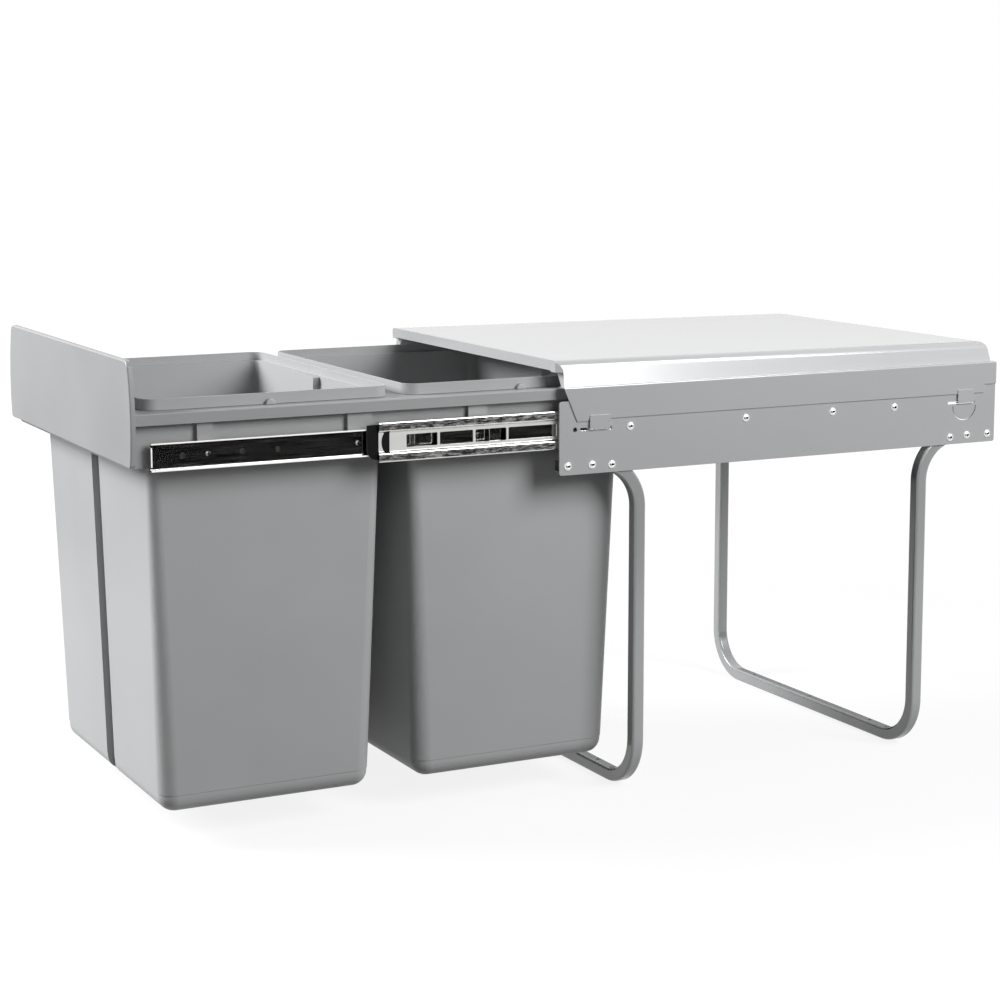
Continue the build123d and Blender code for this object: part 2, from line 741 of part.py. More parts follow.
with BuildPart() as carrier_tray:
    with BuildSketch(Plane.XY.offset(tray_top)):
        with Locations((0, tray_centre_y)):
            Rectangle(2 * tray_half_width, tray_length)
        fillet(vertices().group_by(Axis.Y)[-1], tray_corner_radius)
    extrude(amount=-tray_lip_height)
    crown = carrier_tray.faces().sort_by(Axis.Z)[-1]
    fillet([e for e in crown.edges() if e.center().Y > tray_front_y], tray_edge_radius)
    with BuildSketch(Plane.XY.offset(tray_top - tray_sheet)):
        with Locations((0, tray_centre_y)):
            Rectangle(2 * (tray_half_width - tray_sheet), tray_length - 2 * tray_sheet)
        fillet(vertices().group_by(Axis.Y)[-1], tray_corner_radius - tray_sheet)
    extrude(amount=-tray_lip_height, mode=Mode.SUBTRACT)
    with BuildSketch(Plane.XY.offset(tray_top - tray_sheet)):
        with Locations((0, tray_centre_y - skirt_inset / 2)):
            Rectangle(2 * skirt_outer, tray_length - skirt_inset)
            Rectangle(
                2 * (skirt_outer - skirt_sheet),
                tray_length - skirt_inset - 2 * skirt_sheet,
                mode=Mode.SUBTRACT,
            )
        with Locations((0, sum(bin_centres) / 2)):
            Rectangle(2 * skirt_outer, skirt_sheet)
        for span in pad_spans:
            with Locations((0, in_drawer(sum(span) / 2))):
                Rectangle(2 * pad_outer, span[1] - span[0])
                Rectangle(2 * (skirt_outer - skirt_sheet), span[1] - span[0], mode=Mode.SUBTRACT)
    extrude(amount=-(tray_top - tray_sheet - tray_skirt_bottom))
    with BuildSketch(Plane.XY.offset(tray_top)):
        for centre_y in bin_centres:
            with Locations((0, centre_y)):
                RectangleRounded(
                    2 * (bin_top_half_width + bin_opening_clearance),
                    2 * (bin_top_half_length + bin_opening_clearance),
                    bin_top_corner_radius + bin_opening_clearance,
                )
    extrude(amount=-tray_sheet, mode=Mode.SUBTRACT)
    with BuildSketch(Plane.YZ.offset(-pad_outer)):
        with Locations(*[(in_drawer(s), slide_z) for s in slide_screw_offsets]):
            Circle(screw_radius + screw_hole_clearance)
    extrude(amount=2 * pad_outer, mode=Mode.SUBTRACT)
    with BuildSketch(Plane.XZ.offset(-tray_front_y)):
        with Locations(*front_screw_places):
            Circle(screw_radius + screw_hole_clearance)
    extrude(amount=-skirt_sheet, mode=Mode.SUBTRACT)
save(carrier_tray.part, "carrier_tray")


def panel_outline():
    """Front view of the panel: straight top and foot, barrel sides and rounded corners."""
    with BuildLine() as outline:
        panel_middle = (panel_bottom + panel_top) / 2
        for side in (-1, 1):
            ThreePointArc(
                (side * panel_bottom_half_width, panel_bottom),
                (side * panel_mid_half_width, panel_middle),
                (side * panel_top_half_width, panel_top),
            )
        Line((-panel_bottom_half_width, panel_bottom), (panel_bottom_half_width, panel_bottom))
        Line((-panel_top_half_width, panel_top), (panel_top_half_width, panel_top))
    make_face(outline.edges())
    fillet(vertices().group_by(Axis.Y)[-1], panel_top_radius)
    fillet(vertices().group_by(Axis.Y)[0], panel_bottom_radius)


# Front panel: a shallow moulded pan with returned edges, ribs and screw bosses behind
panel_front_y = tray_front_y - panel_depth
with BuildPart() as front_panel:
    with BuildSketch(Plane.XZ.offset(-panel_front_y)):
        panel_outline()
    extrude(amount=-panel_depth)
    fillet(front_panel.faces().sort_by(Axis.Y)[0].edges(), panel_edge_radius)
    with BuildSketch(Plane.XZ.offset(-(panel_front_y + panel_sheet))):
        panel_outline()
        offset(amount=-panel_sheet, mode=Mode.REPLACE)
        with Locations((0, tray_top + collar_height)):
            Rectangle(2 * panel_mid_half_width, panel_rib_sheet, mode=Mode.SUBTRACT)
        with Locations((-panel_screw_spacing_x / 2, panel_top), (panel_screw_spacing_x / 2, panel_top)):
            Rectangle(panel_rib_sheet, 2 * (panel_top - panel_bottom), mode=Mode.SUBTRACT)
        with Locations(*front_screw_places):
            Circle(panel_boss_radius, mode=Mode.SUBTRACT)
    extrude(amount=-(panel_depth - panel_sheet), mode=Mode.SUBTRACT)
    with BuildSketch(Plane.XZ.offset(-tray_front_y)):
        with Locations(*front_screw_places):
            Circle(screw_radius + screw_hole_clearance)
    extrude(amount=panel_screw_length - skirt_sheet + screw_hole_clearance, mode=Mode.SUBTRACT)
save(front_panel.part, "front_panel")


def pan_screw(length):
    """Pan head screw along X, head above the plane x = 0, with a driver recess."""
    with BuildPart() as screw:
        with BuildSketch(Plane.XY):
            with BuildLine():
                dome = ThreePointArc(
                    (0, screw_head_radius),
                    (screw_head_height * 3 / 4, screw_head_radius * 3 / 4),
                    (screw_head_height, screw_recess_radius),
                )
                Polyline(
                    dome @ 1,
                    (screw_head_height - screw_recess_depth, 0),
                    (-length, 0),
                    (-length, screw_radius / 2),
                    (-length + screw_radius, screw_radius),
                    (0, screw_radius),
                    dome @ 0,
                )
            make_face()
        revolve(axis=Axis.X)
    return screw.part


slide_screw = pan_screw(screw_length)
with BuildPart() as slide_screws:
    for offset_y in slide_screw_offsets:
        with Locations((depth_x(slide_depth - slide_sheet), in_drawer(offset_y), slide_z)):
            add(slide_screw)
    mirror(about=Plane.YZ)
save(slide_screws.part, "slide_screws")

panel_screw = pan_screw(panel_screw_length)
with BuildPart() as panel_screws:
    for x, z in front_screw_places:
        with Locations(Location((x, tray_front_y + skirt_sheet, z), (0, 0, 90))):
            add(panel_screw)
save(panel_screws.part, "panel_screws")

# Bins: a tapered body with a rounded foot, a groove down each end wall and a collar above the tray
bin_seat_z = tray_top + bin_seat_gap
bin_rim_z = bin_seat_z + collar_height
foot_top_z = bin_bottom + bin_foot_height


def bin_form(centre_y, inset, seat_z, rim_z, groove_side):
    """Solid inside the bin's outer surface, drawn in by the inset on every wall but the rim."""
    foot = (2 * (bin_foot_half_width - inset), 2 * (bin_foot_half_length - inset))
    mouth = (2 * (bin_top_half_width - inset), 2 * (bin_top_half_length - inset))
    collar_grow = 2 * collar_step
    with BuildPart() as form:
        with BuildSketch(Plane.XY.offset(foot_top_z)):
            with Locations((0, centre_y)):
                RectangleRounded(
                    foot[0] - 2 * bin_foot_step,
                    foot[1] - 2 * bin_foot_step,
                    bin_foot_corner_radius - inset,
                )
        extrude(amount=-(bin_foot_height - inset))
        fillet(form.faces().sort_by(Axis.Z)[0].edges(), bin_foot_radius - inset)
        with BuildSketch(Plane.XY.offset(foot_top_z)):
            with Locations((0, centre_y)):
                RectangleRounded(*foot, bin_foot_corner_radius - inset)
        with BuildSketch(Plane.XY.offset(seat_z)):
            with Locations((0, centre_y)):
                RectangleRounded(*mouth, bin_top_corner_radius - inset)
        loft()
        for end in (-1, 1):
            foot_wall_y = centre_y + end * (bin_foot_half_length - groove_depth - inset * groove_side)
            mouth_wall_y = centre_y + end * (bin_top_half_length - groove_depth - inset * groove_side)
            groove = groove_width + 2 * inset * groove_side
            with BuildSketch(Plane.XY.offset(foot_top_z)):
                with Locations((0, foot_wall_y + end * groove_width / 2)):
                    Rectangle(groove, groove_width)
            with BuildSketch(Plane.XY.offset(seat_z)):
                with Locations((0, mouth_wall_y + end * groove_width / 2)):
                    Rectangle(groove, groove_width)
            loft(mode=Mode.SUBTRACT)
            with BuildSketch(Plane.XY.offset(foot_top_z)):
                with Locations((0, foot_wall_y + end * groove_width / 2)):
                    Rectangle(groove, groove_width)
            extrude(amount=-bin_foot_height - cut_overrun, mode=Mode.SUBTRACT)
        with BuildSketch(Plane.XY.offset(seat_z)):
            with Locations((0, centre_y)):
                RectangleRounded(
                    mouth[0] + collar_grow,
                    mouth[1] + collar_grow,
                    bin_top_corner_radius + collar_step - inset,
                )
        extrude(amount=rim_z - seat_z)
    return form.part


def rim_nub():
    """Half-round catch at the foot of the collar, standing out along X and narrowing outwards."""
    with BuildPart() as catch:
        with BuildSketch(Plane.XY):
            with BuildLine():
                Polyline(
                    (-bin_wall / 2, 0),
                    (nub_depth, 0),
                    (nub_depth, nub_tip_radius),
                    (-bin_wall / 2, nub_radius),
                    close=True,
                )
            make_face()
        revolve(axis=Axis.X, revolution_arc=180)
        tip_face = catch.faces().sort_by(Axis.X)[-1]
        fillet(tip_face.edges().filter_by(GeomType.CIRCLE), nub_edge_radius)
    return catch.part


nub = rim_nub()
with BuildPart() as front_bin:
    add(bin_form(bin_centres[0], 0, bin_seat_z, bin_rim_z, 0))
    add(
        bin_form(bin_centres[0], bin_wall, bin_seat_z + bin_wall, bin_rim_z + cut_overrun, 1),
        mode=Mode.SUBTRACT,
    )
    collar_x = bin_top_half_width + collar_step
    collar_y = bin_top_half_length + collar_step
    for side in (-1, 1):
        with Locations(Location((side * collar_x, bin_centres[0], bin_seat_z), (0, 0, 90 - side * 90))):
            add(nub)
        with Locations(Location((0, bin_centres[0] + side * collar_y, bin_seat_z), (0, 0, side * 90))):
            add(nub)
save(front_bin.part, "front_bin")
save(front_bin.part.moved(Location((0, bin_pitch, 0))), "rear_bin")
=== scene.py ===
# %% [markdown]
# # A pull out bin frame, dressed for its picture
# The object is a steel frame for a kitchen cabinet. A folded steel hood sits on two side plates,
# and two bent tubes carry them as legs. Telescopic ball slides let a plastic tray with two bins
# and a front panel run out. The CAD model is loaded first as a fixed frame in metres. Nearly all
# of its pieces have the right shape already, so this lesson spends its time on their surfaces, on
# small pieces that repeat, and on the light.

# %% Load the frame
import math
import json

import bmesh
import bpy
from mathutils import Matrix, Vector

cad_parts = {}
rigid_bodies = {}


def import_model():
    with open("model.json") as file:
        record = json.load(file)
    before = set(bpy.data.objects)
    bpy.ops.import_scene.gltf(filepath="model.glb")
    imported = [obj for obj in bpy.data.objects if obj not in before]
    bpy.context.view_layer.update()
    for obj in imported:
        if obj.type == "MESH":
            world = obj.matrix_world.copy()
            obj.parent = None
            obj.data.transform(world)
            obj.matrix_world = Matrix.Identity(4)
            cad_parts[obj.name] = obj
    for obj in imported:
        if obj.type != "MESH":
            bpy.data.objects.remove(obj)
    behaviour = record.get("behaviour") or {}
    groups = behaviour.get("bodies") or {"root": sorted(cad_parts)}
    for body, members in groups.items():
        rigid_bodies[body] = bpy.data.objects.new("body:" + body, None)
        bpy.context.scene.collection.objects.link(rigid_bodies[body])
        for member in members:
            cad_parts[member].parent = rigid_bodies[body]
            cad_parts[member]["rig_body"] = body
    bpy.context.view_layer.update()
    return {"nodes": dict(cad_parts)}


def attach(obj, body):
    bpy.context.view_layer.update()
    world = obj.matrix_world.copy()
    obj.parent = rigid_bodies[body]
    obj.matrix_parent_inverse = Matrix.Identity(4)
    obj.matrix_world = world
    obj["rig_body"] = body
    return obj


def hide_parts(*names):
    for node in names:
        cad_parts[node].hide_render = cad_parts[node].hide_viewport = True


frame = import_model()

# %% [markdown]
# ## The camera
# The photograph is taken from the front right, a little above the hood, with a long lens. The
# place and the lens were fitted to points of the photograph whose place on the object is known.
# The small shift stands for the tilt of a product photograph that is straightened afterwards.

# %% Camera
MM = 0.001


def look_from(place_mm, azimuth, pitch, lens, shift_y):
    """A camera at a place in millimetres, turned by azimuth and pitched down, in degrees."""
    data = bpy.data.cameras.new("photo_camera")
    data.sensor_width = 36
    data.lens = lens
    data.shift_y = shift_y
    data.clip_start = 0.05
    data.clip_end = 40
    camera = bpy.data.objects.new("photo_camera", data)
    camera.location = Vector(place_mm) * MM
    camera.rotation_euler = (math.radians(90 - pitch), 0, math.radians(azimuth))
    bpy.context.scene.collection.objects.link(camera)
    bpy.context.scene.camera = camera
    return camera


photo_camera = look_from((1928.4, -1181.8, 618.3), 63.165, 7.724, 82.19, -0.08)
print("camera at", tuple(round(v, 3) for v in photo_camera.location))

# %% [markdown]
# ## One helper for nodes and one for colour
# Every material and every Geometry Nodes tree below is a list of nodes. One helper adds a node,
# gives it its settings and makes its links, so that a tree reads from top to bottom. Colours are
# written as the hex values that a picture editor shows, and one function turns them into the
# linear values that the renderer works in.

# %% Node and colour helpers


def linear(hex_colour):
    """Linear RGBA of an sRGB hex colour such as #c8c9ca."""
    parts = [int(hex_colour[i : i + 2], 16) / 255 for i in (1, 3, 5)]
    return (*[p / 12.92 if p <= 0.04045 else ((p + 0.055) / 1.055) ** 2.4 for p in parts], 1)


def add_node(tree, kind, settings=None, inputs=None):
    """A new node with its settings, and inputs that are values or the sockets that feed them."""
    node = tree.nodes.new(kind)
    for name, value in (settings or {}).items():
        setattr(node, name, value)
    for name, value in (inputs or {}).items():
        if isinstance(value, bpy.types.NodeSocket):
            tree.links.new(value, node.inputs[name])
        else:
            node.inputs[name].default_value = value
    return node


def new_material(name):
    """An empty node material with its output and a Principled shader joined to it."""
    material = bpy.data.materials.new(name)
    material.use_nodes = True
    tree = material.node_tree
    tree.nodes.clear()
    shader = add_node(tree, "ShaderNodeBsdfPrincipled")
    add_node(tree, "ShaderNodeOutputMaterial", inputs={"Surface": shader.outputs["BSDF"]})
    return material, tree, shader


print("mid grey is", round(linear("#808080")[0], 4))

# %% [markdown]
# ## Powder coated steel
# The hood, the side plates and the legs are folded or bent steel with a baked silver-grey powder
# coat. It melts into a smooth skin with a very slight orange peel, and fine flakes in it make the
# colour shift a little. The eye sees an even grey with soft, broad highlights along the folds. A
# Principled shader with a low roughness, a little metal and a thin coat gives that. The peel and
# the flakes are two noises whose sizes are real: about 2.5 mm for the peel and 0.6 mm for the
# flakes. A picture of a coated sheet could be laid on instead, but noises stay sharp at any
# distance and have no seams.

# %% Powder coat material
FLAKE_SIZE = 0.6 * MM
FLAKE_SHARE = 0.6
COAT_DRIFT = 6.0  # patches of colour about 170 mm across
PEEL_SIZE = 2.5 * MM
PEEL_DEPTH = 0.02 * MM
PEEL_STRENGTH = 0.25
COAT_METALLIC = 0.15
COAT_WEIGHT = 0.25
COAT_ROUGHNESS = 0.12


def powder_coat(name, dark, light, roughness):
    """Baked powder coat: flakes between two greys, orange peel as bump."""
    material, tree, shader = new_material(name)
    place = add_node(tree, "ShaderNodeTexCoord").outputs["Object"]
    flakes = add_node(
        tree, "ShaderNodeTexNoise", inputs={"Vector": place, "Scale": 1 / FLAKE_SIZE, "Detail": 2.0}
    )
    drift = add_node(
        tree, "ShaderNodeTexNoise", inputs={"Vector": place, "Scale": COAT_DRIFT, "Detail": 2.0}
    )
    slow = add_node(
        tree,
        "ShaderNodeMath",
        {"operation": "MULTIPLY"},
        {0: drift.outputs["Fac"], 1: 1 - FLAKE_SHARE},
    )
    blend = add_node(
        tree,
        "ShaderNodeMath",
        {"operation": "MULTIPLY_ADD"},
        {0: flakes.outputs["Fac"], 1: FLAKE_SHARE, 2: slow.outputs[0]},
    )
    colour = add_node(
        tree,
        "ShaderNodeMix",
        {"data_type": "RGBA"},
        {0: blend.outputs[0], 6: linear(dark), 7: linear(light)},
    )
    peel = add_node(
        tree, "ShaderNodeTexNoise", inputs={"Vector": place, "Scale": 1 / PEEL_SIZE, "Detail": 1.0}
    )
    bump = add_node(
        tree,
        "ShaderNodeBump",
        inputs={"Height": peel.outputs["Fac"], "Strength": PEEL_STRENGTH, "Distance": PEEL_DEPTH},
    )
    tree.links.new(colour.outputs[2], shader.inputs["Base Color"])
    tree.links.new(bump.outputs["Normal"], shader.inputs["Normal"])
    shader.inputs["Metallic"].default_value = COAT_METALLIC
    shader.inputs["Roughness"].default_value = roughness
    shader.inputs["Coat Weight"].default_value = COAT_WEIGHT
    shader.inputs["Coat Roughness"].default_value = COAT_ROUGHNESS
    return material


hood_coat = powder_coat("powder_coated_steel_hood", "#b9babb", "#cbcccd", 0.20)
plate_coat = powder_coat("powder_coated_steel_plate", "#adaeaf", "#c0c1c2", 0.34)
leg_coat = powder_coat("powder_coated_steel_tube", "#a0a1a2", "#b0b1b2", 0.24)
print("powder coats", hood_coat.name, plate_coat.name, leg_coat.name)

# %% [markdown]
# ## Moulded polypropylene
# The bins, the tray and the front panel are injection moulded in grey polypropylene. The mould is
# taken to be spark eroded, as such moulds often are, which leaves a fine, even grain on the
# outside, so the plastic has a satin sheen and no sharp reflections. The colour drifts slightly
# where the plastic flowed. The grain of about 0.7 mm is a little coarser than the real one, so
# that it shows. It could be cut into the mesh, but it is far too fine for that, so it is a bump.

# %% Polypropylene material
GRAIN_SIZE = 0.7 * MM
GRAIN_DEPTH = 0.03 * MM
GRAIN_STRENGTH = 0.12
FLOW_DRIFT = 9.0  # patches of colour about 110 mm across
GLOSS_SPREAD = 0.05
PLASTIC_IOR = 1.49
MATT_BLACK_SPECULAR = 0.2  # the fine texture of the black stops swallows most of the sheen


def moulded_plastic(name, dark, light, roughness):
    """Spark eroded moulded plastic: even grain as bump, slow drift in colour and gloss."""
    material, tree, shader = new_material(name)
    place = add_node(tree, "ShaderNodeTexCoord").outputs["Object"]
    drift = add_node(
        tree, "ShaderNodeTexNoise", inputs={"Vector": place, "Scale": FLOW_DRIFT, "Detail": 3.0}
    )
    colour = add_node(
        tree,
        "ShaderNodeMix",
        {"data_type": "RGBA"},
        {0: drift.outputs["Fac"], 6: linear(dark), 7: linear(light)},
    )
    gloss = add_node(
        tree,
        "ShaderNodeMapRange",
        inputs={
            "Value": drift.outputs["Fac"],
            "To Min": roughness - GLOSS_SPREAD,
            "To Max": roughness + GLOSS_SPREAD,
        },
    )
    grain = add_node(
        tree,
        "ShaderNodeTexVoronoi",
        inputs={"Vector": place, "Scale": 1 / GRAIN_SIZE},
    )
    bump = add_node(
        tree,
        "ShaderNodeBump",
        inputs={
            "Height": grain.outputs["Distance"],
            "Strength": GRAIN_STRENGTH,
            "Distance": GRAIN_DEPTH,
        },
    )
    tree.links.new(colour.outputs[2], shader.inputs["Base Color"])
    tree.links.new(gloss.outputs["Result"], shader.inputs["Roughness"])
    tree.links.new(bump.outputs["Normal"], shader.inputs["Normal"])
    shader.inputs["IOR"].default_value = PLASTIC_IOR
    return material


bin_plastic = moulded_plastic("moulded_polypropylene_bin", "#a8a9aa", "#b4b5b6", 0.48)
tray_plastic = moulded_plastic("moulded_polypropylene_tray", "#9a9b9c", "#a6a7a8", 0.45)
panel_plastic = moulded_plastic("moulded_polypropylene_panel", "#9e9fa0", "#a9aaab", 0.42)
bumper_plastic = moulded_plastic("moulded_black_acetal", "#0b0b0c", "#151516", 0.35)
bumper_shader = bumper_plastic.node_tree.nodes["Principled BSDF"]
bumper_shader.inputs["Specular IOR Level"].default_value = MATT_BLACK_SPECULAR
print("plastics", bin_plastic.name, tray_plastic.name, panel_plastic.name, bumper_plastic.name)

# %% [markdown]
# ## Bright zinc plate
# The slides are rolled from steel strip and then plated with bright zinc. The drawer member is
# smooth and mirrors the room like a dark glass, apart from its satin edges. The middle member has
# two blotchy bands, and the sunken web between them is satin, so it reads as a pale grey. The
# rivets, screws and balls are bright metal too, so one function makes them all. What differs is
# how rough the metal is, and how much a noise, stretched along the strip, changes that. Fine lines
# are about 0.8 mm apart and 40 mm long, blotches 1.2 mm and 7 mm. A Mapping node stretches the
# noise, so the marks have the same size on every member, which a painted image would not give.

# %% Zinc material


def bright_zinc(name, dark, light, low, high, across_mm=0.8, along_mm=40.0):
    """Zinc plated strip: marks along Y that change its gloss and, slightly, its colour."""
    material, tree, shader = new_material(name)
    place = add_node(tree, "ShaderNodeTexCoord").outputs["Object"]
    stretch = (1 / (across_mm * MM), 1 / (along_mm * MM), 1 / (across_mm * MM))
    stretched = add_node(tree, "ShaderNodeMapping", inputs={"Vector": place, "Scale": stretch})
    lines = add_node(
        tree,
        "ShaderNodeTexNoise",
        inputs={"Vector": stretched.outputs[0], "Scale": 1.0, "Detail": 3.0},
    )
    colour = add_node(
        tree,
        "ShaderNodeMix",
        {"data_type": "RGBA"},
        {0: lines.outputs["Fac"], 6: linear(dark), 7: linear(light)},
    )
    gloss = add_node(
        tree,
        "ShaderNodeMapRange",
        inputs={
            "Value": lines.outputs["Fac"],
            "From Min": 0.35,
            "From Max": 0.65,
            "To Min": low,
            "To Max": high,
        },
    )
    tree.links.new(colour.outputs[2], shader.inputs["Base Color"])
    tree.links.new(gloss.outputs["Result"], shader.inputs["Roughness"])
    shader.inputs["Metallic"].default_value = 1.0
    return material


slide_zinc = bright_zinc("bright_zinc_plated_strip", "#d0d0ce", "#dcdcda", 0.10, 0.18)
blotchy_zinc = bright_zinc("blotchy_zinc_plated_strip", "#c4c4c2", "#dcdcda", 0.16, 0.34, 1.2, 7.0)
web_zinc = bright_zinc("satin_zinc_plated_web", "#b4b4b2", "#c4c4c2", 0.50, 0.62)
edge_zinc = bright_zinc("satin_zinc_plated_edge", "#dcdcda", "#e8e8e6", 0.55, 0.66)
rivet_metal = bright_zinc("burnished_aluminium_rivet", "#dcdcdc", "#ececec", 0.24, 0.34)
screw_metal = bright_zinc("bright_zinc_plated_screw", "#dededc", "#ececea", 0.26, 0.34)
# Painted shade: this dark metal lines the rivets' pin holes and the screws' cross recesses; in a
# rivet it is also the dull steel of the broken pin.
pin_break_and_recess_shade = bright_zinc("dull_pin_break_and_painted_recess_shade", "#1c1c1c", "#2a2a2a", 0.5, 0.6)
ball_steel = bright_zinc("polished_bearing_steel", "#d4d4d3", "#e6e6e5", 0.05, 0.09)
print("metals", slide_zinc.name, screw_metal.name, ball_steel.name)

# %% [markdown]
# ## Finishes on the CAD pieces
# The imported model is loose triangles. A copy of each visible piece is merged and shaded smooth
# where its faces meet at a small angle, and its real edges stay sharp. On the folded and moulded
# pieces a narrow bevel is added, because no real edge is perfectly sharp, and that thin line of
# light is what makes sheet metal and plastic look real. The slides' webs, bands and edges are flat
# and lie in known planes across the object, so a face's own plane tells which metal it gets. The
# pieces could be modelled again here, but their sizes are right already, so a copy is safer.

# %% Finished copies of the CAD pieces
FOLD_ANGLE = math.radians(28)
FLAT_ANGLE = math.radians(0.4)
MERGE_DISTANCE = 0.002 * MM
PLANE_TOLERANCE = 0.05 * MM
FACES_SIDEWAYS = 0.99
LARGEST_FACE_WINS = 100


def finished_copy(node, material, bevel_mm=0.0, by_plane=None):
    """A merged copy with smooth curves, sharp edges, a narrow bevel and, by plane, other metals."""
    source = frame["nodes"][node]
    mesh = source.data.copy()
    mesh.materials.clear()
    mesh.materials.append(material)
    planes = by_plane or {}
    for metal in planes.values():
        mesh.materials.append(metal)
    shape = bmesh.new()
    shape.from_mesh(mesh)
    bmesh.ops.remove_doubles(shape, verts=shape.verts, dist=MERGE_DISTANCE)
    bmesh.ops.dissolve_limit(shape, angle_limit=FLAT_ANGLE, verts=shape.verts, edges=shape.edges)
    for face in shape.faces:
        face.smooth = True
        face.material_index = 0
        for slot, plane in enumerate(planes, 1):
            off_plane = abs(abs(face.calc_center_median().x) - plane * MM)
            if abs(face.normal.x) > FACES_SIDEWAYS and off_plane < PLANE_TOLERANCE:
                face.material_index = slot
    for edge in shape.edges:
        edge.smooth = edge.is_manifold and edge.calc_face_angle(0) < FOLD_ANGLE
    shape.to_mesh(mesh)
    shape.free()
    piece = bpy.data.objects.new(node + "_finished", mesh)
    bpy.context.scene.collection.objects.link(piece)
    if bevel_mm:
        bevel = piece.modifiers.new("narrow_edge", "BEVEL")
        bevel.width = bevel_mm * MM
        bevel.segments = 2
        bevel.limit_method = "ANGLE"
        bevel.angle_limit = FOLD_ANGLE
        bevel.harden_normals = True
    flat = piece.modifiers.new("flat_faces_stay_flat", "WEIGHTED_NORMAL")
    flat.mode = "FACE_AREA"
    flat.weight = LARGEST_FACE_WINS
    flat.keep_sharp = True
    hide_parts(node)
    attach(piece, source["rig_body"])
    return piece


# %% [markdown]
# The table below gives each piece its material and the width of its bevel in millimetres. The
# legs' tube has round corners already, and the stops and cages are small, so these have no bevel.
# The four planes are the distances of the slides' flat faces from the object's middle plane, in
# millimetres.

# %% Finish of each piece
WEB_PLANE = 176.1
BAND_PLANE = 178.1
FLANGE_PLANE = 173.6
TAB_PLANE = 172.5
finishes = {
    "hood_lid": (hood_coat, 0.25),
    "side_plate_right": (plate_coat, 0.15),
    "side_plate_left": (plate_coat, 0.15),
    "front_leg": (leg_coat, 0.0),
    "rear_leg": (leg_coat, 0.0),
    "carrier_tray": (tray_plastic, 0.3),
    "front_panel": (panel_plastic, 0.25),
    "front_bin": (bin_plastic, 0.35),
    "rear_bin": (bin_plastic, 0.35),
    "mid_bumper_right": (bumper_plastic, 0.0),
    "mid_bumper_left": (bumper_plastic, 0.0),
    "slide_outer_right": (slide_zinc, 0.12),
    "slide_outer_left": (slide_zinc, 0.12),
    "slide_mid_right": (slide_zinc, 0.12, {WEB_PLANE: web_zinc, BAND_PLANE: blotchy_zinc}),
    "slide_mid_left": (slide_zinc, 0.12, {WEB_PLANE: web_zinc, BAND_PLANE: blotchy_zinc}),
    "slide_inner_right": (slide_zinc, 0.12, {FLANGE_PLANE: edge_zinc, TAB_PLANE: edge_zinc}),
    "slide_inner_left": (slide_zinc, 0.12, {FLANGE_PLANE: edge_zinc, TAB_PLANE: edge_zinc}),
    "inner_cage_right": (slide_zinc, 0.0),
    "inner_cage_left": (slide_zinc, 0.0),
}
for node_name, finish in finishes.items():
    made = finished_copy(node_name, *finish)
    print(node_name, len(made.data.polygons), "faces")

# %% [markdown]
# ## Balls, outer cages and panel screws
# The balls, the outer cages and the screws that hold the front panel are right as they are. They
# only get their own metal.

# %% Metals on the carried-over pieces
for node_name, metal in (
    ("inner_balls", ball_steel),
    ("outer_balls", ball_steel),
    ("outer_cage", slide_zinc),
):
    for side in ("right", "left"):
        data = frame["nodes"][f"{node_name}_{side}"].data
        data.materials.clear()
        data.materials.append(metal)
panel_screws = frame["nodes"]["panel_screws"].data
panel_screws.materials.clear()
panel_screws.materials.append(screw_metal)
print("balls, outer cages and panel screws have their metal")

# %% [markdown]
# ## Rivets and screws
# Blind rivets hold the legs and the cabinet members of the slides to the side plates. Each has a
# low dome, and in its middle the hole where the pin broke off. Pan head screws with a cross
# recess hold the drawer members to the tray. Both are a flattened ball, half sunk in the sheet,
# with something cut out of its top. The walls of the cut are painted dark: in a rivet partly the
# dull steel of the broken pin and partly painted shade, in a screw's cross recess painted shade.
# They could be modelled one by one, but they repeat, so Geometry Nodes make one from named sizes
# and set a copy on each point. The first helper makes a tree with named inputs. The second sets an
# input by the identifier of its socket, because that is the key that the modifier keeps it under.

# %% A tree with named inputs


def new_tree(name, inputs):
    """A Geometry Nodes tree with a geometry in and out, and named inputs with their values."""
    tree = bpy.data.node_groups.new(name, "GeometryNodeTree")
    tree.interface.new_socket("Geometry", in_out="INPUT", socket_type="NodeSocketGeometry")
    tree.interface.new_socket("Geometry", in_out="OUTPUT", socket_type="NodeSocketGeometry")
    for key, kind, value in inputs:
        socket = tree.interface.new_socket(key, in_out="INPUT", socket_type=kind)
        if value is not None:
            socket.default_value = value
    return tree, add_node(tree, "NodeGroupInput").outputs, add_node(tree, "NodeGroupOutput")


def set_input(modifier, tree, name, value):
    """Sets a named input of a Geometry Nodes modifier by the identifier of its socket."""
    for item in tree.interface.items_tree:
        if item.item_type == "SOCKET" and item.in_out == "INPUT" and item.name == name:
            modifier[item.identifier] = value


# %% [markdown]
# A dome, a tail and a shank are all a unit ball or rod, scaled to a radius and a height. One helper
# does that, and sets the material.

# %% A scaled unit shape


def flattened(tree, shape, radius, height, material):
    """A unit shape scaled to a radius and a height, smooth and in its material."""
    size = add_node(tree, "ShaderNodeCombineXYZ", inputs={0: radius, 1: radius, 2: height})
    scaled = add_node(
        tree,
        "GeometryNodeTransform",
        inputs={"Geometry": shape.outputs[0], "Scale": size.outputs[0]},
    )
    smooth = add_node(tree, "GeometryNodeSetShadeSmooth", inputs={"Geometry": scaled.outputs[0]})
    return add_node(
        tree,
        "GeometryNodeSetMaterial",
        inputs={"Geometry": smooth.outputs[0], "Material": material},
    )


# %% [markdown]
# The tree for a whole fastener is the same for rivets and screws. Only the cutter for the recess
# differs, so it is handed in as a function. The outer face of the sheet is at height 0, and the
# middle of the flattened ball lies on it. The shank runs down through the sheets that it grips, and
# the tail closes it below. Each point carries a number, 1 or -1, that says which way its head
# faces. A head has two materials, so they are set on its parts before these are joined, and Realize
# Instances keeps them on the copies.

# %% The tree of a fastener


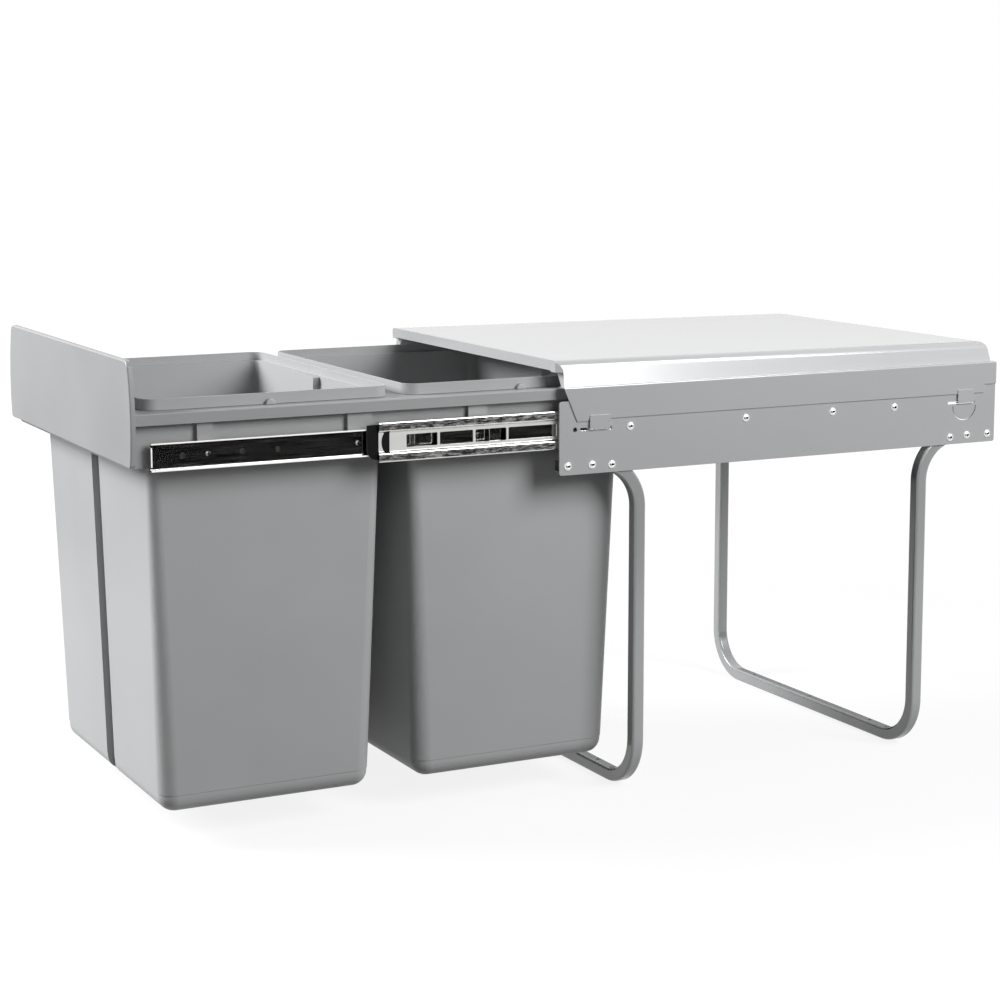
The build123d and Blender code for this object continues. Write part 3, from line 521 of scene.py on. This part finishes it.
def head_tree(name, make_cutter):
    """A tree that makes one fastener with a domed, cut head and sets a copy on each point."""
    tree, given, group_out = new_tree(
        name,
        [
            ("Head Radius", "NodeSocketFloat", 3.9 * MM),
            ("Head Height", "NodeSocketFloat", 1.9 * MM),
            ("Recess Size", "NodeSocketFloat", 1.15 * MM),
            ("Recess Depth", "NodeSocketFloat", 1.2 * MM),
            ("Grip", "NodeSocketFloat", 2.7 * MM),
            ("Shank Radius", "NodeSocketFloat", 2.0 * MM),
            ("Tail Radius", "NodeSocketFloat", 2.9 * MM),
            ("Tail Height", "NodeSocketFloat", 1.2 * MM),
            ("Head Material", "NodeSocketMaterial", None),
            ("Recess Material", "NodeSocketMaterial", None),
        ],
    )
    ball = add_node(
        tree, "GeometryNodeMeshUVSphere", inputs={"Segments": 32, "Rings": 16, "Radius": 1.0}
    )
    bright = flattened(
        tree, ball, given["Head Radius"], given["Head Height"], given["Head Material"]
    )
    dark = add_node(
        tree,
        "GeometryNodeSetMaterial",
        inputs={"Geometry": make_cutter(tree, given), "Material": given["Recess Material"]},
    )
    head = add_node(tree, "GeometryNodeMeshBoolean", {"operation": "DIFFERENCE"})
    tree.links.new(bright.outputs[0], head.inputs[0])
    tree.links.new(dark.outputs[0], head.inputs[1])
    rod = add_node(
        tree, "GeometryNodeMeshCylinder", inputs={"Vertices": 24, "Radius": 1.0, "Depth": 1.0}
    )
    shank = flattened(tree, rod, given["Shank Radius"], given["Grip"], given["Head Material"])
    tail = flattened(tree, ball, given["Tail Radius"], given["Tail Height"], given["Head Material"])
    whole_head = add_node(tree, "GeometryNodeJoinGeometry")
    tree.links.new(head.outputs[0], whole_head.inputs[0])
    for part, share in ((shank, -0.5), (tail, -1.0)):
        down = add_node(
            tree, "ShaderNodeMath", {"operation": "MULTIPLY"}, {0: given["Grip"], 1: share}
        )
        place = add_node(tree, "ShaderNodeCombineXYZ", inputs={2: down.outputs[0]})
        lowered = add_node(
            tree,
            "GeometryNodeTransform",
            inputs={"Geometry": part.outputs[0], "Translation": place.outputs[0]},
        )
        tree.links.new(lowered.outputs[0], whole_head.inputs[0])
    facing = add_node(
        tree, "GeometryNodeInputNamedAttribute", {"data_type": "FLOAT"}, {"Name": "facing"}
    )
    outwards = add_node(tree, "ShaderNodeCombineXYZ", inputs={0: facing.outputs[0]})
    turned = add_node(
        tree, "FunctionNodeAlignRotationToVector", {"axis": "Z"}, {"Vector": outwards.outputs[0]}
    )
    spread = add_node(
        tree,
        "GeometryNodeInstanceOnPoints",
        inputs={
            "Points": given["Geometry"],
            "Instance": whole_head.outputs[0],
            "Rotation": turned.outputs[0],
        },
    )
    whole = add_node(tree, "GeometryNodeRealizeInstances", inputs={"Geometry": spread.outputs[0]})
    tree.links.new(whole.outputs[0], group_out.inputs[0])
    return tree


# %% [markdown]
# Both cutters are centred on the top of the dome, so half of a cutter is in the air and half in the
# metal. That way its upper end leaves no thin skin.

# %% Moving a cutter to the dome


def at_top(tree, given, geometry):
    """Moves a cutter up to the top of the dome."""
    place = add_node(tree, "ShaderNodeCombineXYZ", inputs={2: given["Head Height"]})
    moved = add_node(
        tree,
        "GeometryNodeTransform",
        inputs={"Geometry": geometry, "Translation": place.outputs[0]},
    )
    return moved.outputs[0]


print("tree helpers ready")

# %% [markdown]
# The rivet's cutter is a small cylinder. The screw's cutter is two long thin boxes that cross, the
# shape that the driver's tip leaves.

# %% Rivet and screw trees
BOTH_WAYS = 2.0  # a cutter reaches as far above the dome as below it
BAR_WIDTH = 0.28  # of a bar's length


def pin_hole(tree, given):
    """A cylinder twice as deep as the recess, centred on the top of the dome."""
    double = add_node(
        tree, "ShaderNodeMath", {"operation": "MULTIPLY"}, {0: given["Recess Depth"], 1: BOTH_WAYS}
    )
    hole = add_node(
        tree,
        "GeometryNodeMeshCylinder",
        inputs={"Vertices": 20, "Radius": given["Recess Size"], "Depth": double.outputs[0]},
    )
    return at_top(tree, given, hole.outputs[0])


def cross_recess(tree, given):
    """Two crossing bars, as long as the recess is wide, centred on the top of the dome."""
    double = add_node(
        tree, "ShaderNodeMath", {"operation": "MULTIPLY"}, {0: given["Recess Depth"], 1: BOTH_WAYS}
    )
    thin = add_node(
        tree, "ShaderNodeMath", {"operation": "MULTIPLY"}, {0: given["Recess Size"], 1: BAR_WIDTH}
    )
    both = add_node(tree, "GeometryNodeMeshBoolean", {"operation": "UNION"})
    for first, second in (
        (given["Recess Size"], thin.outputs[0]),
        (thin.outputs[0], given["Recess Size"]),
    ):
        size = add_node(
            tree, "ShaderNodeCombineXYZ", inputs={0: first, 1: second, 2: double.outputs[0]}
        )
        bar = add_node(tree, "GeometryNodeMeshCube", inputs={"Size": size.outputs[0]})
        tree.links.new(bar.outputs[0], both.inputs[1])
    return at_top(tree, given, both.outputs[0])


rivet_tree = head_tree("blind_rivet_heads", pin_hole)
screw_tree = head_tree("pan_screw_heads", cross_recess)
print(
    "nodes in the rivet tree", len(rivet_tree.nodes), "and in the screw tree", len(screw_tree.nodes)
)

# %% [markdown]
# The places are those of the CAD model in millimetres. On the side plates they are distances
# behind the plates' front edge, on the drawer members they are places along Y, and the second
# number is the height. The result is kept as a plain mesh that rides on its body.

# %% Setting the heads
FRONT = -240.0  # front edge of the side plates
PLATE_OUTER = 182.5  # outer face of the side plates
DRAWER_STRIP = 169.5  # outer face of the drawer members' web
SLIDE_Z = 339.6  # middle height of the slides


def both_sides(places, x):
    """Points (x, y, z, facing) on the right and the left from places (y, z)."""
    return [(side * x, y, z, side) for side in (1, -1) for y, z in places]


def scatter(name, places, tree, values, body, node):
    """Runs a tree on points, keeps the result as a plain mesh in place of a CAD node."""
    mesh = bpy.data.meshes.new(name + "_points")
    mesh.from_pydata([Vector(p[:3]) * MM for p in places], [], [])
    facing = mesh.attributes.new("facing", "FLOAT", "POINT")
    facing.data.foreach_set("value", [p[3] for p in places])
    carrier = bpy.data.objects.new(name + "_points", mesh)
    bpy.context.scene.collection.objects.link(carrier)
    modifier = carrier.modifiers.new("spread", "NODES")
    modifier.node_group = tree
    for key, value in values.items():
        set_input(modifier, tree, key, value)
    graph = bpy.context.evaluated_depsgraph_get()
    plain = bpy.data.meshes.new_from_object(carrier.evaluated_get(graph), depsgraph=graph)
    plain.name = name
    piece = bpy.data.objects.new(name, plain)
    bpy.context.scene.collection.objects.link(piece)
    bpy.data.objects.remove(carrier)
    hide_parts(node)
    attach(piece, body)
    spots = [[vertex.co[axis] for vertex in plain.vertices] for axis in range(3)]
    print(name, len(plain.polygons), "faces", [(round(min(v), 4), round(max(v), 4)) for v in spots])
    return piece


# %% [markdown]
# Three rivets hold each end of a leg. The rear ones mirror the front ones. Four rivets hold each
# cabinet member and three screws each drawer member. The slides' rivets have a lower tail, as in
# the CAD model.

# %% Rivets and screws in their places
leg_places = [(8.5, 307.5), (33.0, 307.5), (53.0, 306.4)]
leg_places = [(sign * (FRONT + y), z) for sign in (1, -1) for y, z in leg_places]
slide_places = [(FRONT + y, SLIDE_Z) for y in (71.8, 193.6, 289.6, 360.4)]
drawer_places = [(y, SLIDE_Z) for y in (-560.0, -426.6, -312.9)]
# The recess material is painted shade in the holes, and in the rivets also the dull broken pin.
RIVET = {"Head Material": rivet_metal, "Recess Material": pin_break_and_recess_shade}
LOW_RIVET = RIVET | {"Tail Height": 0.6 * MM}
SCREW = {
    "Head Material": screw_metal,
    "Recess Material": pin_break_and_recess_shade,
    "Head Radius": 3.4 * MM,
    "Head Height": 1.7 * MM,
    "Recess Size": 3.6 * MM,
    "Recess Depth": 1.0 * MM,
    "Grip": 5.0 * MM,
    "Shank Radius": 1.9 * MM,
    "Tail Radius": 1.9 * MM,
    "Tail Height": 1.0 * MM,
}
scatter(
    "leg_rivet_heads",
    both_sides(leg_places, PLATE_OUTER),
    rivet_tree,
    RIVET,
    "cabinet_frame",
    "leg_rivets",
)
scatter(
    "slide_rivet_heads",
    both_sides(slide_places, PLATE_OUTER),
    rivet_tree,
    LOW_RIVET,
    "cabinet_frame",
    "slide_rivets",
)
scatter(
    "slide_screw_heads",
    both_sides(drawer_places, DRAWER_STRIP),
    screw_tree,
    SCREW,
    "carrier",
    "slide_screws",
)

# %% [markdown]
# ## Floor
# The photograph is cut out on pure white. A wide floor of pale paper gives that here. More light
# would turn it white too, but it would bleach the object. So the paper's own colour is grey, and it
# glows for the camera and for reflections alone. Near the object it is a little darker than white,
# which leaves room for a soft shadow.

# %% Floor
FLOOR_HALF = 9
NEAR_REACH = 0.7
FAR_REACH = 2.2
NEAR_LEVEL = 0.86
corners = [(x * FLOOR_HALF, y * FLOOR_HALF, 0) for x, y in ((-1, -1), (1, -1), (1, 1), (-1, 1))]
floor_mesh = bpy.data.meshes.new("studio_floor")
floor_mesh.from_pydata(corners, [], [(0, 1, 2, 3)])
studio_floor = bpy.data.objects.new("studio_floor", floor_mesh)
bpy.context.scene.collection.objects.link(studio_floor)
floor_paper = bpy.data.materials.new("white_paper_sweep")
floor_paper.use_nodes = True
paper_tree = floor_paper.node_tree
paper_tree.nodes.clear()
matt = add_node(paper_tree, "ShaderNodeBsdfDiffuse", inputs={"Color": linear("#6e6e6e")})
place = add_node(paper_tree, "ShaderNodeTexCoord").outputs["Object"]
far = add_node(paper_tree, "ShaderNodeVectorMath", {"operation": "LENGTH"}, {0: place})
level = add_node(
    paper_tree,
    "ShaderNodeMapRange",
    inputs={
        "Value": far.outputs["Value"],
        "From Min": NEAR_REACH,
        "From Max": FAR_REACH,
        "To Min": NEAR_LEVEL,
        "To Max": 1.0,
    },
)
lift = add_node(
    paper_tree,
    "ShaderNodeEmission",
    inputs={"Color": (1, 1, 1, 1), "Strength": level.outputs["Result"]},
)
both = add_node(paper_tree, "ShaderNodeAddShader", inputs={0: matt.outputs[0], 1: lift.outputs[0]})
path = add_node(paper_tree, "ShaderNodeLightPath")
seen = add_node(
    paper_tree,
    "ShaderNodeMath",
    {"operation": "MAXIMUM"},
    {0: path.outputs["Is Camera Ray"], 1: path.outputs["Is Glossy Ray"]},
)
paper = add_node(
    paper_tree,
    "ShaderNodeMixShader",
    inputs={0: seen.outputs[0], 1: matt.outputs[0], 2: both.outputs[0]},
)
add_node(paper_tree, "ShaderNodeOutputMaterial", inputs={"Surface": paper.outputs[0]})
floor_mesh.materials.append(floor_paper)
print("floor", studio_floor.dimensions[:])

# %% [markdown]
# ## World
# The world is the white wall behind the floor. It is white to the camera, to reflections and
# through clear things, and gives the object only a weak, even fill.

# %% World
WORLD_FILL = 0.05
world = bpy.data.worlds.new("white_studio")
bpy.context.scene.world = world
world.use_nodes = True
sky = world.node_tree
sky.nodes.clear()
path = add_node(sky, "ShaderNodeLightPath")
seen = add_node(
    sky,
    "ShaderNodeMath",
    {"operation": "MAXIMUM"},
    {0: path.outputs["Is Camera Ray"], 1: path.outputs["Is Glossy Ray"]},
)
seen_too = add_node(
    sky,
    "ShaderNodeMath",
    {"operation": "MAXIMUM"},
    {0: seen.outputs[0], 1: path.outputs["Is Transmission Ray"]},
)
strength = add_node(
    sky,
    "ShaderNodeMapRange",
    inputs={"Value": seen_too.outputs[0], "To Min": WORLD_FILL, "To Max": 1.0},
)
backdrop = add_node(
    sky,
    "ShaderNodeBackground",
    inputs={"Color": (1, 1, 1, 1), "Strength": strength.outputs["Result"]},
)
add_node(sky, "ShaderNodeOutputWorld", inputs={"Surface": backdrop.outputs[0]})
print("world strength", WORLD_FILL, "for light, 1 for the eye")

# %% [markdown]
# ## Lamps
# Two soft lamps light the object plainly. The stronger one stands in front and to the left, and
# the weaker one on the right. So the faces that look forward, such as the bins' grooved ones, are
# lighter than those that look right. A small strip light on the right gives the bright reflection
# on the front of the hood's sloping edge. That edge could be given a whiter material there, but a
# reflection moves as the eye does, as on the real coat.

# %% Lamps


def soft_lamp(name, place, target, size, watts):
    """A square area lamp at a place, pointed at a target, both in metres."""
    data = bpy.data.lights.new(name, "AREA")
    data.shape = "SQUARE"
    data.size = size
    data.energy = watts
    lamp = bpy.data.objects.new(name, data)
    lamp.location = place
    lamp.rotation_euler = (Vector(target) - Vector(place)).to_track_quat("-Z", "Y").to_euler()
    bpy.context.scene.collection.objects.link(lamp)
    return lamp


middle = (0, -0.2, 0.25)
lamps = [
    soft_lamp("front_left_softbox", (-1.4, -2.7, 1.8), middle, 1.5, 160),
    soft_lamp("right_side_softbox", (1.65, 0.6, 1.4), middle, 1.1, 39),
    soft_lamp("right_strip_light", (2.3, 0.92, 0.88), middle, 0.3, 2.8),
]
print("lamps", [lamp.name for lamp in lamps])

# %% [markdown]
# ## Black cards
# A mirror-bright slide shows the room. In the photograph the flat web of the drawer member is dark
# between bright flange lines, so a black card stands low on each side, where these webs look. The
# cards are seen in reflections alone. Dark paint on the webs would look right from this side only.

# %% Black cards
CARD_SIDE = 1.0
CARD_TOP = 0.42
card_paint = bpy.data.materials.new("black_velvet_card")
card_paint.use_nodes = True
card_paint.node_tree.nodes.clear()
velvet = add_node(
    card_paint.node_tree, "ShaderNodeBsdfDiffuse", inputs={"Color": linear("#050505")}
)
add_node(card_paint.node_tree, "ShaderNodeOutputMaterial", inputs={"Surface": velvet.outputs[0]})


def black_card(name, x, front, rear):
    """An upright card along Y that only reflections see."""
    mesh = bpy.data.meshes.new(name)
    mesh.from_pydata(
        [(x, front, 0), (x, rear, 0), (x, rear, CARD_TOP), (x, front, CARD_TOP)], [], [(0, 1, 2, 3)]
    )
    mesh.materials.append(card_paint)
    card = bpy.data.objects.new(name, mesh)
    bpy.context.scene.collection.objects.link(card)
    for sight in ("camera", "diffuse", "transmission", "shadow"):
        setattr(card, "visible_" + sight, False)
    return card


cards = [
    black_card("right_black_card", CARD_SIDE, -0.6, 1.5),
    black_card("left_black_card", -CARD_SIDE, -1.7, 1.2),
]
print("black cards", [card.name for card in cards])

# %% [markdown]
# ## The view transform
# The view transform is Standard, so a colour renders about as it is written.

# %% Finish
bpy.context.scene.view_settings.view_transform = "Standard"
